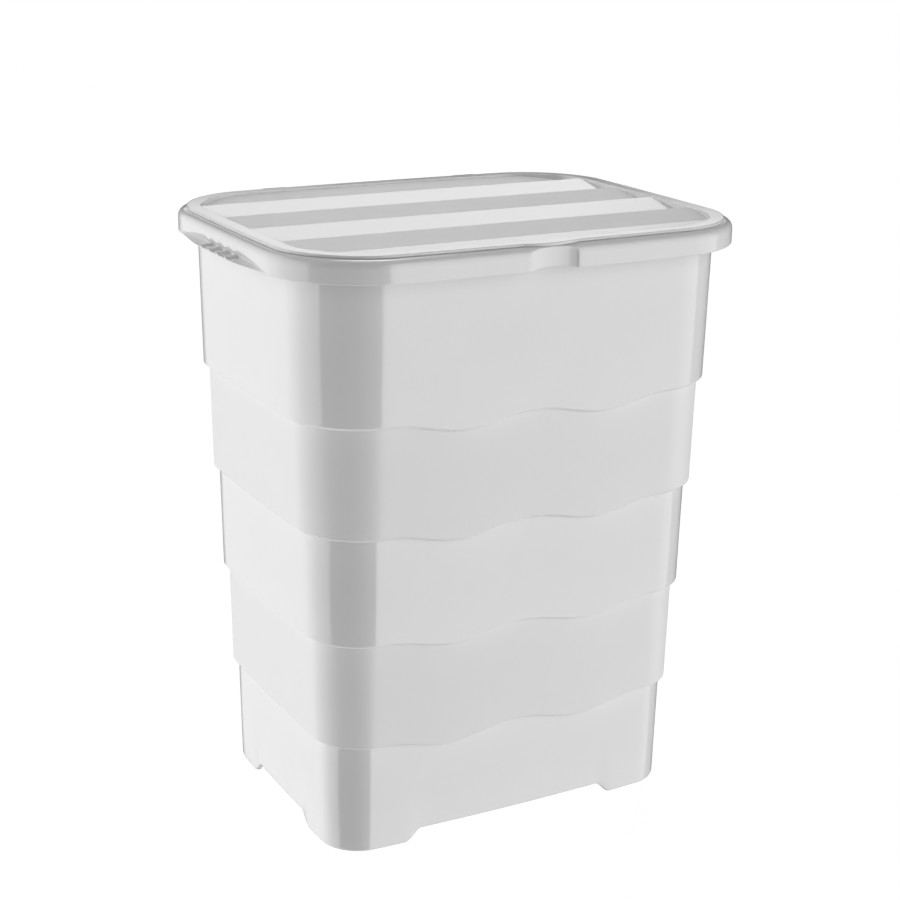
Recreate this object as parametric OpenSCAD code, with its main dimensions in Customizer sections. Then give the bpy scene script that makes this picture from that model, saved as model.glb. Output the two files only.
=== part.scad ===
// A tall laundry hamper of moulded plastic: a tapered tub in five stepped bands,
// a turned-down rim with two hand grips and a finger scoop, and a louvred lid
// that swings on two hinge pins behind the rim.
// The origin lies on the floor under the middle of the whole hamper, its hinges
// included. The front faces -Y.

/* [Tub] */
// Height of the rim's top face above the floor
rim_z = 560; // [520:1:640]
// Length of the rim over its short sides, without their bow
rim_length = 454; // [420:1:500]
// Width of the rim over its long sides, without their bow
rim_width = 352; // [320:1:400]
// Corner radius of the rim's outside in plan
rim_corner = 82; // [72:1:95]
// How far the long sides bow outward at their middle
bow_long = 6.5; // [0:0.5:9]
// How far the short sides bow outward at their middle
bow_short = 2.5; // [0:0.5:5]
// Thickness of the tub's side walls
wall = 1.8; // [1.5:0.1:2.6]
// Thickness of the tub's floor
floor_thickness = 2.6; // [2:0.1:4]
// Height of the floor's underside above the surface the hamper stands on
floor_z = 17; // [15:0.5:24]
// Radius between the floor and the inside of the walls
floor_fillet = 8; // [4:0.5:12]
// Slope of each band's wall, in millimetres of inset per millimetre of height
draft = 0.018; // [0.01:0.001:0.025]

/* [Bands] */
// Number of steps down the tub, one fewer than its bands
step_count = 4; // [2:1:4]
// Height from the rim's top down to the first step
top_band = 146.5; // [130:0.1:155]
// Height of each band below the first step
band_pitch = 101.8; // [90:0.1:108]
// How far each band is set in from the band above it
step_in = 5.2; // [3:0.1:6]
// Height of the ledge that leads from a band in to the band below it
step_slope = 3; // [2:0.1:8]
// Radius of the rounded edge at the foot of each band
step_round = 1; // [0.5:0.1:2.5]
// How far each step dips on the long sides
wave_drop = 10; // [0:0.5:14]
// Length of one dip along a long side
wave_length = 140; // [110:1:142]

/* [Feet] */
// Height of the arches between the feet
arch_height = 12; // [6:0.5:14]
// Length of the curve at each end of an arch
arch_curve = 17; // [12:0.5:24]
// Length of each front foot beside the arch, from the corner of the straight side
foot_long = 33; // [26:0.5:48]
// Length of each side foot beside the arch, from the corner of the straight side
foot_short = 28; // [22:0.5:36]
// Radius of the feet's outer bottom edge
foot_round = 3; // [1:0.5:5]
// Width of the flat face that a foot stands on
foot_land = 2.4; // [1.5:0.1:4]

/* [Rim] */
// Distance from the rim's outside to the outside of the wall below it
rim_reach = 17; // [12:0.5:20]
// Height of the rim's turned-down skirt
skirt_height = 20; // [17:0.5:28]
// Thickness of the skirt and of the rim's top
skirt = 2.2; // [1.8:0.1:3]
// Radius of the rim's outer top edge
rim_round = 7; // [4:0.5:8]
// Radius of the rim's inner top edge
mouth_round = 1; // [0.5:0.1:1.5]
// Width of the finger scoop in the middle of the front
scoop_width = 47; // [35:1:60]
// Depth of the finger scoop in its middle
scoop_depth = 5.5; // [4:0.5:9]
// Depth of the finger scoop at its ends
scoop_step = 2; // [0.5:0.5:3]

/* [Grips] */
// How far a grip's lip stands out from the skirt
grip_reach = 7.6; // [4:0.1:10]
// Thickness of a grip's lip at its edge
grip_lip = 1.8; // [1.5:0.1:2.5]
// How far the finger pocket over the lip is pressed into the skirt
grip_depth = 0.6; // [0.2:0.1:1]
// Height of a grip, from under its lip to the top of its pocket
grip_height = 11; // [8:0.5:12]
// Length of the straight middle of a grip
grip_flat = 80; // [60:1:90]
// Length of the curve from the grip's middle to each of its ends
grip_curve = 68; // [50:1:72]
// Number of finger ribs on a grip
rib_count = 4; // [2:1:5]
// Distance from one finger rib to the next
rib_pitch = 19.5; // [16:0.5:21]
// Radius of a finger rib
rib_radius = 2; // [1.5:0.1:2.5]
// Length of a finger rib across the lip, from its rounded end
rib_length = 4.5; // [4:0.5:8]

/* [Lid] */
// Gap between the closed lid and the rim under it
lid_gap = 0.3; // [0.2:0.05:1]
// Distance from the rim's outside to the edge of the lid
lid_inset = 7.8; // [7:0.1:9]
// Thickness of the lid's flat ring
ring_thickness = 2.4; // [2:0.1:3.5]
// Radius of the ring's outer top edge
edge_round = 1.1; // [0.5:0.1:1.6]
// Clearance between the lid's recess and the mouth of the tub
mouth_clearance = 0.7; // [0.5:0.1:1.5]
// Thickness of the recess wall
recess_wall = 1.6; // [1.4:0.1:2.4]
// How far the recess wall leans inward at its bottom, to clear the mouth as the lid turns
recess_lean = 1.2; // [1:0.1:1.3]
// How far the recess wall reaches below the panel
recess_reach = 1.2; // [0.6:0.1:3]
// Thickness of the louvred panel
panel_thickness = 1.8; // [1.2:0.1:2.4]
// Distance from one louvre's crest to the next
louvre_pitch = 62.5; // [50:0.5:72]
// Drop of each louvre from its crest to the foot of the next riser
louvre_drop = 7; // [4:0.5:8]
// Depth of the crests below the ring's top
crest_depth = 0.5; // [0.3:0.1:1]
// Distance of the middle crest in front of the lid's middle
louvre_offset = 16; // [0:0.5:25]
// How far the front tab stands out from the lid's edge
tab_reach = 5; // [3:0.5:6]
// Width of the front tab
tab_width = 54; // [40:1:64]

/* [Hinge] */
// Diameter of the hinge pins
pin_d = 5; // [4:0.1:6]
// Clearance on the diameter between a pin and the lid's knuckle
pin_clearance = 0.15; // [0.1:0.01:0.3]
// Distance of each hinge from the middle of the back
hinge_x = 105; // [80:1:120]
// Length of each lid knuckle along its pin
knuckle_length = 24; // [16:0.5:32]
// Outer radius of the knuckles and of the ears
knuckle_radius = 5.2; // [4.5:0.1:6]
// Thickness of the arms that join the lid to its knuckles
arm_thickness = 2; // [1.6:0.1:2.2]
// Clearance between the arms and the rim that they reach over
arm_clearance = 0.5; // [0.4:0.1:1]
// Thickness of each ear on the rim
ear_thickness = 3.2; // [2.5:0.1:5]
// Side clearance between a knuckle and each ear
ear_clearance = 0.4; // [0.3:0.05:1]
// Gap between a knuckle and the skirt in front of it
knuckle_gap = 0.8; // [0.5:0.1:2]
// Depth of the hinge pins' axis below the rim's top
hinge_drop = 8; // [6:0.5:9]
// Diameter of a pin's head
pin_head_d = 8; // [7:0.1:9]
// Thickness of a pin's head
pin_head = 1.6; // [1.2:0.1:2.5]
// Length of the rounded tip that a pin shows beyond its far ear
pin_tip = 1.2; // [0.5:0.1:2]

/* [Hidden] */
$fn = 48;

gloss_white = [0.93, 0.93, 0.93];
lid_white = [0.9, 0.9, 0.9];
pin_white = [0.86, 0.86, 0.86];

// Half lengths of the straight stretches of the long and short sides
straight_x = rim_length / 2 - rim_corner;
straight_y = rim_width / 2 - rim_corner;
// Facets along a corner, along a foot, an arch curve, and the stretches between
corner_facets = 7;
foot_facets = 2;
curve_facets = 3;
scoop_facets = 6;
// Width of the slope at each end of the scoop
scoop_edge = 0.6;
side_facets = 6;
// The lid's outline has more points to a corner, and enough along its tab
lid_corner_facets = 12;
tab_facets = 10;
// A lap by which solids of one piece run into each other
lap = 0.8;

// Values from a to b in n steps, without b
function spread(a, b, n) = [for (i = [0:n - 1]) a + (b - a) * i / n];

// Stations along a long side from left to right, without the last
long_stations = let (
    a = straight_x,
    f = straight_x - foot_long,
    c = f - arch_curve,
    s = scoop_width / 2,
    e = s - scoop_edge
) concat(
    spread(-a, -f, foot_facets), spread(-f, -c, curve_facets), spread(-c, -s, side_facets),
    [-s], spread(-e, e, scoop_facets), [e], spread(s, c, side_facets),
    spread(c, f, curve_facets), spread(f, a, foot_facets)
);

// Stations along a short side from front to back, without the last
short_stations = let (
    a = straight_y,
    f = straight_y - foot_short,
    c = f - arch_curve
) concat(
    spread(-a, -f, foot_facets), spread(-f, -c, curve_facets), spread(-c, c, side_facets),
    spread(c, f, curve_facets), spread(f, a, foot_facets)
);

// A station of the outline is [centre x, centre y, direction x, direction y]: a
// point at radius r lies at its centre plus r times its direction
function corner_stations(sx, sy, start, n) = [
    for (a = spread(start, start + 90, n)) [sx * straight_x, sy * straight_y, cos(a), sin(a)]
];

function outline_stations(long, short, n) = concat(
    [for (x = long) [x, -straight_y, 0, -1]],
    corner_stations(1, -1, -90, n),
    [for (y = short) [straight_x, y, 1, 0]],
    corner_stations(1, 1, 0, n),
    [for (x = long) [-x, straight_y, 0, 1]],
    corner_stations(-1, 1, 90, n),
    [for (y = short) [-straight_x, -y, -1, 0]],
    corner_stations(-1, -1, 180, n)
);

tub_stations = outline_stations(long_stations, short_stations, corner_facets);
lid_stations = let (t = tab_width / 2) outline_stations(
    concat(spread(-straight_x, -t, 7), spread(-t, t, tab_facets), spread(t, straight_x, 7)),
    spread(-straight_y, straight_y, 6),
    lid_corner_facets
);

// Plan position of a station at a given inset from the rim's outside, bow included
function plan(s, inset) = let (
    r = rim_corner - inset,
    a = straight_x + r,
    b = straight_y + r,
    x = s[0] + r * s[2],
    y = s[1] + r * s[3],
    out_x = bow_short * (1 - pow(y / b, 2)) * pow(abs(x) / a, 4),
    out_y = bow_long * (1 - pow(x / a, 2)) * pow(abs(y) / b, 4)
) [x + sign(x) * out_x, y + sign(y) * out_y];

// Distance from the middle to the rim's outside on a long side, at a given x
function long_side_y(x, inset) = let (
    r = rim_corner - inset,
    a = straight_x + r
) straight_y + r + bow_long * (1 - pow(x / a, 2));

// 0 to 1 along a smooth curve as t runs from 0 to 1
function ease(t) = let (u = min(max(t, 0), 1)) u * u * (3 - 2 * u);

// Depth of the wave at a station: two dips on each long side
function dip(s) = s[2] == 0 && abs(s[0]) < wave_length
    ? wave_drop * pow(sin(180 * s[0] / wave_length), 2)
    : 0;

// Height of the arch over a station of the tub's bottom edge
function arch(s) = arch_height * (
    s[2] == 0 ? ease((straight_x - foot_long - abs(s[0])) / arch_curve)
    : s[3] == 0 ? ease((straight_y - foot_short - abs(s[1])) / arch_curve)
    : 0
);

// How far a grip's lip stands out at a station
function flare(s) = let (y = abs(s[1] + rim_corner * s[3]))
    s[2] == 0 ? 0 : grip_reach * (1 - ease((y - grip_flat / 2) / grip_curve)) * abs(s[2]);

// Depth of the finger scoop at a station
function scoop(s) = s[2] == 0 && s[3] < 0 && abs(s[0]) < scoop_width / 2
    ? scoop_depth - (scoop_depth - scoop_step) * pow(2 * s[0] / scoop_width, 2)
    : 0;

// Inset of the outside of band k, counted from the top, at a height z
function band_inset(k, z) = rim_reach + k * step_in + draft * (rim_z - z);

// Height of the lower edge of the band above step k, counted from the top
function step_z(k) = rim_z - top_band - (k - 1) * band_pitch;

// A row of the tub's section is [inset, height, share of the wave, share of the
// arch, share of the grips, share of the scoop]. A last value, if any, is how far
// the row lies behind the surface that the scoop cuts
foot_rows = concat(
    [[band_inset(step_count, floor_z) + wall, floor_z, 0, 0, 0, 0]],
    [[band_inset(step_count, 0) + foot_round + foot_land, 0, 0, 1, 0, 0]],
    [for (a = [0:45:90]) [
        band_inset(step_count, 0) + foot_round * (1 - sin(a)), foot_round * (1 - cos(a)), 0, 1, 0, 0
    ]]
);

band_rows = [for (k = [step_count:-1:1]) each [
    [band_inset(k, step_z(k) - step_slope), step_z(k) - step_slope, 1, 0, 0, 0],
    [
        band_inset(k - 1, step_z(k)) + step_round,
        step_z(k) - step_round * step_slope / step_in, 1, 0, 0, 0
    ],
    [band_inset(k - 1, step_z(k)) + step_round / 4, step_z(k) + step_round / 4, 1, 0, 0, 0],
    [band_inset(k - 1, step_z(k) + step_round), step_z(k) + step_round, 1, 0, 0, 0]
]];

skirt_z = rim_z - skirt_height;
grip_top = min(skirt_z + grip_height, rim_z - rim_round - 0.2);
pocket_share = -grip_depth / grip_reach;
rim_rows = concat(
    [
        [band_inset(0, rim_z - skirt), rim_z - skirt, 0, 0, 0, 0],
        [skirt, rim_z - skirt, 0, 0, 0, 1, skirt],
        [skirt, grip_top + 1.5, 0, 0, 0, 1, skirt],
        [skirt, grip_top + 0.5, 0, 0, pocket_share, 1, skirt],
        [skirt, skirt_z, 0, 0, pocket_share, 1, skirt],
        [0, skirt_z, 0, 0, 1, 1],
        [0, skirt_z + grip_lip, 0, 0, 1, 1],
        [0, skirt_z + grip_lip + 1, 0, 0, pocket_share, 1],
        [0, grip_top - 1, 0, 0, pocket_share, 1],
        [0, grip_top, 0, 0, 0, 1]
    ],
    [for (a = [0:30:90]) [rim_round * (1 - cos(a)), rim_z - rim_round * (1 - sin(a)), 0, 0, 0, 1]],
    [
        [rim_reach + wall - mouth_round, rim_z, 0, 0, 0, 0],
        [rim_reach + wall, rim_z - mouth_round, 0, 0, 0, 0]
    ]
);

// The inside follows the outside one wall further in, and over the ledges far
// enough up that they are as thick as the wall
ledge_angle = atan2(step_slope, step_in);
ledge_lift = wall * (1 - sin(ledge_angle)) / cos(ledge_angle);
inner_rows = [for (k = [1:step_count]) let (z = step_z(k), foot = z - step_slope) each [
    [band_inset(k - 1, z) + wall, z + ledge_lift, 1, 0, 0, 0],
    [band_inset(k, foot) + wall, foot + ledge_lift, 1, 0, 0, 0]
]];

floor_top = floor_z + floor_thickness;
floor_rows = [for (a = [0:45:90]) [
    band_inset(step_count, floor_top) + wall + floor_fillet * (1 - cos(a)),
    floor_top + floor_fillet * (1 - sin(a)), 0, 0, 0, 0
]];

tub_rows = concat(foot_rows, band_rows, rim_rows, inner_rows, floor_rows);

// One ring of points round the tub for a row of its section
function tub_ring(row) = [for (s = tub_stations) let (
    drop = row[2] * dip(s),
    behind = len(row) > 6 ? row[6] : 0,
    cut = behind + max(row[0] - behind, row[5] * scoop(s)),
    inset = cut + draft * drop - row[4] * flare(s)
) concat(plan(s, inset), row[1] - drop + row[3] * arch(s))];

// Triangles between ring i and ring k of rings of n points
function between(i, k, n) = [for (j = [0:n - 1]) let (
    a = i * n + j,
    b = i * n + (j + 1) % n,
    c = k * n + j,
    d = k * n + (j + 1) % n
) each [[a, c, d], [a, d, b]]];

// A closed solid through rings of points, capped flat at the first and the last
module skin(rings) {
    n = len(rings[0]);
    last = len(rings) - 1;
    start = [for (j = [0:n - 1]) j];
    end = [for (j = [n - 1:-1:0]) last * n + j];
    sides = [for (i = [0:last - 1]) each between(i, i + 1, n)];
    polyhedron([for (ring = rings) each ring], concat([start, end], sides));
}

// A hoop through rings of points, whose last ring joins its first
module hoop(rings) {
    n = len(rings[0]);
    count = len(rings);
    polyhedron(
        [for (ring = rings) each ring],
        [for (i = [0:count - 1]) each between(i, (i + 1) % count, n)]
    );
}

// Where the hinge pins' axis lies
hinge_z = rim_z - hinge_drop;
hinge_y = long_side_y(0, 0) + knuckle_gap + knuckle_radius;
// The tub's own middle, which lies before the origin by half the hinges' depth
middle_y = -(hinge_y + knuckle_radius - long_side_y(0, 0)) / 2;
ear_offset = knuckle_length / 2 + ear_clearance + ear_thickness / 2;

// A plate across the hinge axis, at a given x, from an outline in (y, z)
module across(x, thickness) {
    translate([x - thickness / 2, 0, 0])
        rotate([90, 0, 90])
            linear_extrude(height = thickness) children();
}

// One ear: a lug round the pin that runs into the back of the skirt
module ear(x) {
    root_y = long_side_y(x, 0) - lap;
    across(x, ear_thickness) difference() {
        union() {
            translate([hinge_y, hinge_z]) circle(r = knuckle_radius);
            polygon([
                [root_y, hinge_z + knuckle_radius],
                [root_y, skirt_z + lap],
                [hinge_y - knuckle_radius, skirt_z + lap],
                [hinge_y + knuckle_radius * cos(-30), hinge_z + knuckle_radius * sin(-30)],
                [hinge_y, hinge_z + knuckle_radius]
            ]);
        }
        translate([hinge_y, hinge_z]) circle(d = pin_d);
    }
}

// One finger rib on the left grip: a low bar on the lip with a rounded end
module finger_rib(y) {
    end_x = -rim_length / 2 - bow_short - grip_reach + rib_radius;
    translate([end_x, y, skirt_z + rib_radius + 0.2]) {
        sphere(r = rib_radius);
        rotate([0, 90, 0]) cylinder(r = rib_radius, h = rib_length - rib_radius);
    }
}

module tub() {
    color(gloss_white) translate([0, middle_y, 0]) {
        skin([for (row = tub_rows) tub_ring(row)]);
        for (side = [-1, 1], end = [-1, 1]) ear(side * hinge_x + end * ear_offset);
        for (side = [0, 1], i = [0:rib_count - 1])
            mirror([side, 0, 0]) finger_rib((i - (rib_count - 1) / 2) * rib_pitch);
    }
}

// Insets of the lid's recess and the heights of its ring
recess_outside = rim_reach + wall + mouth_clearance;
recess_inside = recess_outside + recess_wall;
ring_z = rim_z + lid_gap;
ring_top = ring_z + ring_thickness;
crest_z = ring_top - crest_depth;
recess_z = crest_z - louvre_drop - panel_thickness - recess_reach;

// The lid's outline at a given inset
module lid_outline(inset) {
    polygon([for (s = lid_stations) plan(s, inset)]);
}

// Crests of the louvres from front to back
crests = [
    for (i = [-3:3]) let (y = i * louvre_pitch - louvre_offset)
        if (y > -long_side_y(0, recess_inside) && y < long_side_y(0, recess_inside)) y
];

// Height of the panel's top face on the louvre that begins at a crest
function louvre_z(crest, y) = crest_z - louvre_drop * (crest - y) / louvre_pitch;

// Section of the louvred panel in (y, z): its top is a sawtooth, and its
// underside follows it one thickness lower
function sawtooth(lower) = let (
    half = long_side_y(0, recess_outside),
    last = crests[len(crests) - 1] + louvre_pitch
) concat(
    [[-half, louvre_z(crests[0], -half) - lower]],
    [for (c = crests) each [
        [c, louvre_z(c, c) - lower],
        [c, louvre_z(c + louvre_pitch, c) - lower]
    ]],
    [[half, louvre_z(last, half) - lower]]
);

module louvred_panel() {
    top = sawtooth(0);
    under = sawtooth(panel_thickness);
    // The riser is as thick as the panel, so its underside lies further forward
    shifted = [for (i = [0:len(under) - 1])
        i > 0 && i < len(under) - 1 ? under[i] - [panel_thickness, 0] : under[i]];
    section = concat(top, [for (i = [len(shifted) - 1:-1:0]) shifted[i]]);
    intersection() {
        across(0, rim_length) polygon(section);
        translate([0, 0, recess_z])
            linear_extrude(height = ring_top - recess_z)
                lid_outline(recess_outside + (recess_wall + recess_lean) / 2);
    }
}

// How far the front tab stands out at a station: an arc over the finger scoop
function tab(s) = let (
    half = tab_width / 2,
    radius = (half * half + tab_reach * tab_reach) / (2 * tab_reach)
) s[2] == 0 && s[3] < 0 && abs(s[0]) < half
    ? sqrt(radius * radius - s[0] * s[0]) - (radius - tab_reach)
    : 0;

// Rows of the ring's section with the recess wall: [inset, height, share of the tab]
ring_rows = concat(
    [for (a = [0:30:90]) [
        lid_inset + edge_round * (1 - cos(a)), ring_top - edge_round * (1 - sin(a)), 1
    ]],
    [
        [recess_inside, ring_top, 0],
        [recess_inside + recess_lean, recess_z, 0],
        [recess_outside + recess_lean, recess_z, 0],
        [recess_outside, ring_z, 0],
        [lid_inset, ring_z, 1]
    ]
);

// The flat ring and the recess wall round the panel
module lid_ring() {
    hoop([for (row = ring_rows) [
        for (s = lid_stations) concat(plan(s, row[0] - row[2] * tab(s)), row[1])
    ]]);
}

// One lid arm: it reaches over the rim's rounded edge and down to a knuckle
module knuckle_arm(x) {
    inner_x = x - sign(x) * knuckle_length / 2;
    outer_x = x + sign(x) * knuckle_length / 2;
    bend = [long_side_y(inner_x, rim_round), rim_z - rim_round];
    root_y = long_side_y(outer_x, lid_inset) - lap;
    under = rim_round + arm_clearance;
    over = under + arm_thickness;
    across(x, knuckle_length) difference() {
        union() {
            translate([hinge_y, hinge_z]) circle(r = knuckle_radius);
            polygon(concat(
                [[root_y, bend[1] + under], [root_y, bend[1] + over]],
                [for (a = [90:-15:30]) bend + over * [cos(a), sin(a)]],
                [
                    [hinge_y, hinge_z + knuckle_radius],
                    [hinge_y, hinge_z],
                    [hinge_y - knuckle_radius, hinge_z]
                ],
                [for (a = [0:15:90]) bend + under * [cos(a), sin(a)]]
            ));
        }
        translate([hinge_y, hinge_z]) circle(d = pin_d + pin_clearance);
    }
}

module lid() {
    color(lid_white) translate([0, middle_y, 0]) {
        lid_ring();
        louvred_panel();
        for (side = [-1, 1]) knuckle_arm(side * hinge_x);
    }
}

// One hinge pin, its head against the outer ear and its tip through the inner ear
module hinge_pin() {
    shank = 2 * (ear_offset + ear_thickness / 2);
    tip = pin_d / 2 - 0.6;
    color(pin_white)
        translate([-shank / 2, middle_y + hinge_y, hinge_z])
            rotate([0, 90, 0])
                rotate_extrude() polygon([
                    [0, -pin_head], [pin_head_d / 2 - 0.5, -pin_head], [pin_head_d / 2, -pin_head + 0.5],
                    [pin_head_d / 2, 0], [pin_d / 2, 0], [pin_d / 2, shank],
                    [tip, shank + pin_tip], [0, shank + pin_tip]
                ]);
}

module hinge_pin_left() {
    translate([-hinge_x, 0, 0]) hinge_pin();
}

module hinge_pin_right() {
    mirror([1, 0, 0]) hinge_pin_left();
}

tub();
lid();
hinge_pin_left();
hinge_pin_right();
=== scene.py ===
"""A tall laundry hamper of moulded plastic with a louvred lid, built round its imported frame.

Sizes are in millimetres in the frame of the part: the floor is z = 0 and the front faces -Y.
"""

import logging
import math
from collections.abc import Sequence
from dataclasses import dataclass, field
from enum import Enum

import bpy
import numpy as np
from mathutils import Matrix, Vector


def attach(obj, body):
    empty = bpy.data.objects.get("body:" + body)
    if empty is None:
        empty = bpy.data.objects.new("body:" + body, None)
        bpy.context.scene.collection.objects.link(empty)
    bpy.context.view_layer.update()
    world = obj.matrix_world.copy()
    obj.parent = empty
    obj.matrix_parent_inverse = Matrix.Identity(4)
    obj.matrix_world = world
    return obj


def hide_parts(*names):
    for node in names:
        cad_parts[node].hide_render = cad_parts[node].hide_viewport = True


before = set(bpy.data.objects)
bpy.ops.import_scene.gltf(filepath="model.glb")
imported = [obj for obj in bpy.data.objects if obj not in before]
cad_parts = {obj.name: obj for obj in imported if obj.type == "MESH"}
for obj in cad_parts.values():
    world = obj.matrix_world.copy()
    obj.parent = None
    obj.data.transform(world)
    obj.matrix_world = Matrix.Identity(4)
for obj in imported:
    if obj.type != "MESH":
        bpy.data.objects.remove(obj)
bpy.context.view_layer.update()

MM = 0.001
WHITE = (1.0, 1.0, 1.0, 1.0)
# Nearly all of a noise's values lie between these.
NOISE_RANGE = (0.3, 0.7)
# A corner that turns by less than this, in radians, is straight.
LEAST_TURN = 1e-3
LOG = logging.getLogger("hamper")

Socket = bpy.types.NodeSocket
Tree = bpy.types.NodeTree
Inputs = dict[str | int, object]


class Finish(Enum):
    """Which moulded surface a run of faces has; the value is its material slot."""

    GLOSS = 0
    SATIN = 1


def feed(tree: Tree, node: bpy.types.Node, inputs: Inputs) -> None:
    """Set or link a shader node's inputs.

    Args:
        tree: The node tree that holds the node.
        node: The node.
        inputs: For each input, by name or by place, its value or the socket that feeds it.
    """
    for name, value in inputs.items():
        if isinstance(value, Socket):
            tree.links.new(value, node.inputs[name])
        else:
            node.inputs[name].default_value = value


def add_node(tree: Tree, kind: str, inputs: Inputs, **settings: str) -> bpy.types.Node:
    """Add a shader node.

    Args:
        tree: The node tree that gets it.
        kind: Its type, without the ShaderNode that all of them start with.
        inputs: Its inputs, as feed takes them.
        settings: Its own settings, by name.

    Returns:
        The node.
    """
    node = tree.nodes.new("ShaderNode" + kind)
    for name, value in settings.items():
        setattr(node, name, value)
    feed(tree, node, inputs)
    return node


def compute(tree: Tree, operation: str, *values: Socket | float) -> Socket:
    """Add a Math node, fed with sockets or numbers, and return its result."""
    return add_node(tree, "Math", dict(enumerate(values)), operation=operation).outputs[0]


def remap(
    tree: Tree,
    value: Socket,
    source: tuple[float, float],
    target: tuple[float, float] = (0.0, 1.0),
    curve: str = "LINEAR",
) -> Socket:
    """Map a value from one range to another, and hold it at the ends.

    Args:
        tree: The node tree.
        value: The socket with the value.
        source: The range that it comes from.
        target: The range that it goes to.
        curve: The interpolation of the Map Range node.

    Returns:
        The socket with the result.
    """
    ranges = {
        "From Min": source[0], "From Max": source[1], "To Min": target[0], "To Max": target[1]
    }
    node = add_node(tree, "MapRange", {"Value": value, **ranges}, interpolation_type=curve)
    return node.outputs["Result"]


def sine_step(tree: Tree, value: Socket, low: float, high: float) -> Socket:
    """Return a soft step from 0 to 1 between the sines of two angles in degrees."""
    sines = math.sin(math.radians(low)), math.sin(math.radians(high))
    return remap(tree, value, sines, curve="SMOOTHSTEP")


@dataclass(frozen=True)
class MouldedPlastic:
    """White polypropylene as the mould leaves it.

    Grain and ripple are (size, depth) pairs in millimetres: the spark-eroded
    texture of the mould, and the long soft waves of a cooled wall. The cloud is
    the size of its faint patches, in which the roughness varies by the mottling
    either way and the tone by that share of the fading.
    """

    name: str
    shade: float
    roughness: float
    mottling: float
    gleam: float
    grain: tuple[float, float]
    ripple: tuple[float, float]
    cloud: float = 45.0
    fading: float = 0.015
    ior: float = 1.49

    def material(self) -> bpy.types.Material:
        """Build the node material.

        Returns:
            The material, with roughness, tone and bump driven by noise.
        """
        material = bpy.data.materials.new(self.name)
        material.use_nodes = True
        tree = material.node_tree
        place = tree.nodes.new("ShaderNodeTexCoord").outputs["Object"]
        grain = self._noise(tree, place, self.grain[0], detail=3.0)
        ripple = self._noise(tree, place, self.ripple[0], detail=1.0)
        cloud = self._noise(tree, place, self.cloud, detail=4.0)
        polish = (self.roughness - self.mottling, self.roughness + self.mottling)
        tones = (self.shade * (1 - self.fading), self.shade * (1 + self.fading))
        waves = add_node(tree, "Bump", {"Distance": self.ripple[1] * MM, "Height": ripple})
        bumps = {"Distance": self.grain[1] * MM, "Height": grain, "Normal": waves.outputs[0]}
        feed(tree, tree.nodes["Principled BSDF"], {
            "IOR": self.ior,
            "Specular IOR Level": self.gleam,
            "Roughness": remap(tree, cloud, NOISE_RANGE, polish),
            "Base Color": remap(tree, cloud, (0.0, 1.0), tones),
            "Normal": add_node(tree, "Bump", bumps).outputs[0],
        })
        return material

    @staticmethod
    def _noise(tree: Tree, place: Socket, size: float, detail: float) -> Socket:
        """Return the socket of a noise with features of a size in millimetres."""
        inputs = {"Vector": place, "Scale": 1 / (size * MM), "Detail": detail}
        return add_node(tree, "TexNoise", inputs).outputs["Fac"]


GLOSSY_WHITE = MouldedPlastic(
    name="gloss_white", shade=0.8, roughness=0.06, mottling=0.015, gleam=0.7,
    grain=(1.2, 0.002), ripple=(60.0, 0.03),
)
SATIN_WHITE = MouldedPlastic(
    name="satin_white", shade=0.82, roughness=0.45, mottling=0.03, gleam=0.7,
    grain=(0.5, 0.02), ripple=(60.0, 0.05),
)
PIN_WHITE = MouldedPlastic(
    name="pin_white", shade=0.72, roughness=0.28, mottling=0.03, gleam=0.5,
    grain=(0.6, 0.01), ripple=(20.0, 0.02),
)


def ease(t: np.ndarray) -> np.ndarray:
    """Return 0 to 1 along a smooth curve as t runs from 0 to 1."""
    u = np.clip(t, 0.0, 1.0)
    return u * u * (3 - 2 * u)


def spaced(marks: list[float], pieces: Sequence[int]) -> np.ndarray:
    """Lay places from mark to mark, with so many equal pieces between each two."""
    spans = [np.linspace(*span, endpoint=False) for span in zip(marks, marks[1:], pieces)]
    return np.concatenate([*spans, marks[-1:]])


@dataclass(frozen=True)
class Corner:
    """One corner of a section through a wall, before it is rounded.

    Across is the inset from the rim's outside, or y in a section along the lid.
    The shares say how far a loop at this corner follows a feature that changes
    along the outline. Behind is how far the corner lies behind the face that the
    scoop cuts, and runs is how many pieces the run that ends here has.
    """

    across: float
    height: float
    radius: float = 0.0
    wave: float = 0.0
    arch: float = 0.0
    grip: float = 0.0
    scoop: float = 0.0
    tab: float = 0.0
    behind: float = 0.0
    finish: Finish = Finish.GLOSS
    runs: int = 1

    def shares(self) -> list[float]:
        """Return the shares in the order of the section's columns."""
        return [self.wave, self.arch, self.grip, self.scoop, self.tab, self.behind]


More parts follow.
